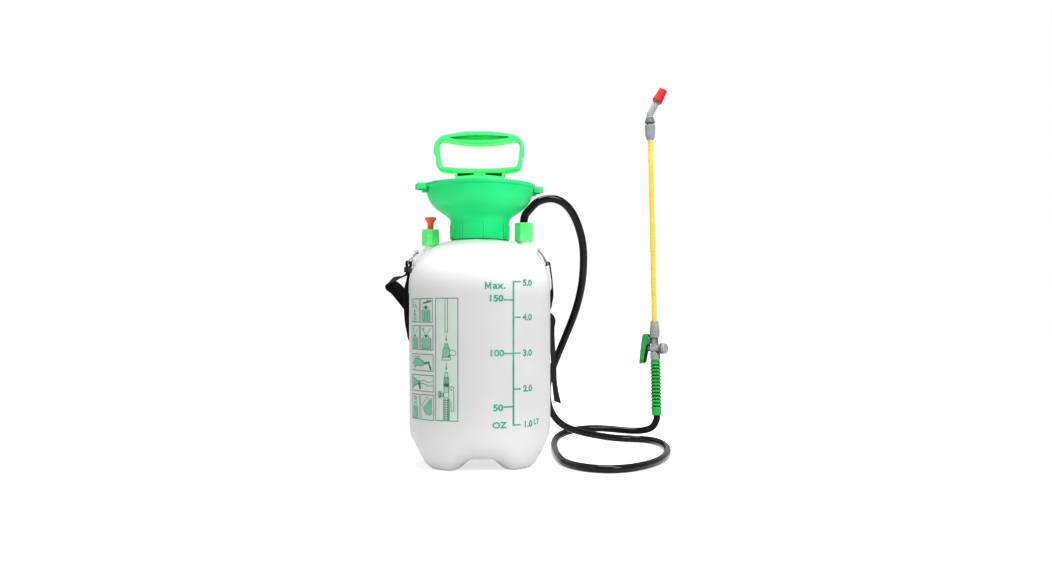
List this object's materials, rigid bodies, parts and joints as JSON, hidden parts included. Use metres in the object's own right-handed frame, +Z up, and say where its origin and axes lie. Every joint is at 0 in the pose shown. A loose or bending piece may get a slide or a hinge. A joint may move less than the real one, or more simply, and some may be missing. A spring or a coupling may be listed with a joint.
{
  "type": "compression sprayer",
  "caption": "Hand-pumped pressure sprayer: translucent tank with funnel collar, pump and D-handle, relief valve, carrying strap, hose, trigger gun, lance and angled nozzle.",
  "frame": {"origin": "on the tank's vertical axis, at the flat centre of its underside, 14 mm above the floor", "axes": "+Z up; -Y is the graduated front of the tank; +X points from the tank to the outlet and the lance"},
  "size_m": [0.3836, 0.3043, 0.5184],
  "materials": {
    "tank_white": "translucent natural polyethylene",
    "pump_green": "satin moulded",
    "nut_green": "satin moulded",
    "grip_green": "satin moulded",
    "relief_orange": "satin moulded",
    "nozzle_red": "satin moulded",
    "lance_yellow": "glossy extruded",
    "gun_grey": "satin moulded",
    "hose_black": "glossy hose",
    "seal_rubber": "matt rubber",
    "steel": "bright",
    "webbing_black": "woven webbing",
    "inner_plastic": "natural polypropylene"
  },
  "bodies": {
    "tank_unit": {"tank": "tank_white", "neck_gasket": "seal_rubber", "relief_seat": "inner_plastic", "relief_gasket": "seal_rubber", "outlet_fitting": "inner_plastic", "outlet_gasket": "seal_rubber", "dip_tube": "inner_plastic", "strainer": "pump_green", "hose": "hose_black", "strap": "webbing_black", "strap_link_left": "steel", "strap_link_right": "steel", "strap_slider": "hose_black"},
    "funnel_unit": {"funnel": "pump_green"},
    "pump_seat": {"cap_oring": "seal_rubber"},
    "pump_unit": {"pump_cap": "pump_green", "pump_cylinder": "inner_plastic"},
    "foot_valve": {"check_valve": "seal_rubber"},
    "piston_unit": {"piston_head": "inner_plastic", "piston_seal": "seal_rubber"},
    "handle_unit": {"handle": "pump_green", "piston_rod": "inner_plastic", "handle_pin": "steel"},
    "relief_nut_unit": {"relief_nut": "nut_green"},
    "relief_pull_unit": {"relief_pull": "relief_orange", "relief_seal": "seal_rubber", "relief_spring": "steel"},
    "outlet_nut_unit": {"outlet_nut": "nut_green"},
    "gun_unit": {"grip": "grip_green", "hose_end": "hose_black", "gun_body": "gun_grey", "valve_seal": "seal_rubber", "lance_seal": "seal_rubber", "trigger_pin": "steel", "valve_spring": "steel"},
    "trigger_unit": {"trigger": "grip_green"},
    "stem_unit": {"valve_stem": "steel"},
    "valve_cap_unit": {"valve_cap": "gun_grey"},
    "lance_nut_unit": {"lance_nut": "gun_grey"},
    "lance_unit": {"lance_tube": "lance_yellow", "elbow_seal": "seal_rubber"},
    "nozzle_nut_unit": {"nozzle_nut": "gun_grey"},
    "elbow_unit": {"nozzle_elbow": "gun_grey", "nozzle_core": "inner_plastic"},
    "nozzle_unit": {"nozzle_cap": "nozzle_red"}
  },
  "joints": [
    {"name": "funnel_unscrew", "type": "hinge", "parent": "tank_unit", "child": "funnel_unit", "pos_m": [0, 0, 0.276], "axis": [0, 0, 1], "continuous": true},
    {"name": "pump_lift_out", "type": "slide", "parent": "funnel_unit", "child": "pump_seat", "axis": [0, 0, 1], "range_m": [0, 0.26]},
    {"name": "pump_unscrew", "type": "hinge", "parent": "pump_seat", "child": "pump_unit", "pos_m": [0, 0, 0.296], "axis": [0, 0, 1], "continuous": true},
    {"name": "foot_valve_lift", "type": "slide", "parent": "pump_unit", "child": "foot_valve", "axis": [0, 0, -1], "range_m": [0, 0.0012], "stiffness_N_per_m": 60, "springref_m": -0.001},
    {"name": "plunger_stroke", "type": "slide", "parent": "pump_unit", "child": "piston_unit", "axis": [0, 0, 1], "range_m": [0, 0.16]},
    {"name": "handle_turn", "type": "hinge", "parent": "piston_unit", "child": "handle_unit", "pos_m": [0, 0, 0.316], "axis": [0, 0, 1], "range_deg": [-12, 12]},
    {"name": "relief_nut_turn", "type": "hinge", "parent": "tank_unit", "child": "relief_nut_unit", "pos_m": [-0.0623, 0, 0.269], "axis": [0, 0, 1], "continuous": true},
    {"name": "relief_pull_lift", "type": "slide", "parent": "tank_unit", "child": "relief_pull_unit", "axis": [0, 0, 1], "range_m": [0, 0.0025], "stiffness_N_per_m": 900, "springref_m": -0.002, "deforming": ["relief_spring"]},
    {"name": "outlet_nut_turn", "type": "hinge", "parent": "tank_unit", "child": "outlet_nut_unit", "pos_m": [0.0552, 0, 0.2767], "axis": [0, 0, 1], "continuous": true},
    {"name": "lance_tilt", "type": "hinge", "parent": "tank_unit", "child": "gun_unit", "pos_m": [0.2488, 0.189, 0.0227], "axis": [0, 1, 0], "range_deg": [-12, 12], "stiffness_Nm_per_rad": 4},
    {"name": "trigger_pull", "type": "hinge", "parent": "gun_unit", "child": "trigger_unit", "pos_m": [0.24022, 0.19368, 0.13573], "axis": [-0.6155, -0.788, -0.0141], "range_deg": [0, 10], "stiffness_Nm_per_rad": 0.3, "springref_deg": -5.73},
    {"name": "stem_slide", "type": "slide", "parent": "gun_unit", "child": "stem_unit", "axis": [0.7878, -0.6157, 0.018], "range_m": [0, 0.0022], "deforming": ["valve_spring"]},
    {"name": "valve_cap_turn", "type": "hinge", "parent": "gun_unit", "child": "valve_cap_unit", "pos_m": [0.24648, 0.189, 0.12387], "axis": [-0.7878, 0.6157, -0.018], "continuous": true},
    {"name": "lance_nut_turn", "type": "hinge", "parent": "gun_unit", "child": "lance_nut_unit", "pos_m": [0.24596, 0.189, 0.14687], "axis": [-0.0229, 0, 0.9997], "continuous": true},
    {"name": "lance_turn", "type": "hinge", "parent": "gun_unit", "child": "lance_unit", "pos_m": [0.24582, 0.189, 0.15287], "axis": [-0.0229, 0, 0.9997], "continuous": true},
    {"name": "nozzle_nut_turn", "type": "hinge", "parent": "lance_unit", "child": "nozzle_nut_unit", "pos_m": [0.23921, 0.189, 0.44179], "axis": [-0.0229, 0, 0.9997], "continuous": true},
    {"name": "elbow_turn", "type": "hinge", "parent": "lance_unit", "child": "elbow_unit", "pos_m": [0.23914, 0.189, 0.44479], "axis": [-0.0229, 0, 0.9997], "continuous": true},
    {"name": "nozzle_turn", "type": "hinge", "parent": "elbow_unit", "child": "nozzle_unit", "pos_m": [0.24924, 0.189, 0.48423], "axis": [0.4816, 0, 0.8764], "continuous": true}
  ],
  "couplings": [
    {"joint": "stem_slide", "follows": "trigger_pull", "m_per_rad": 0.012}
  ]
}
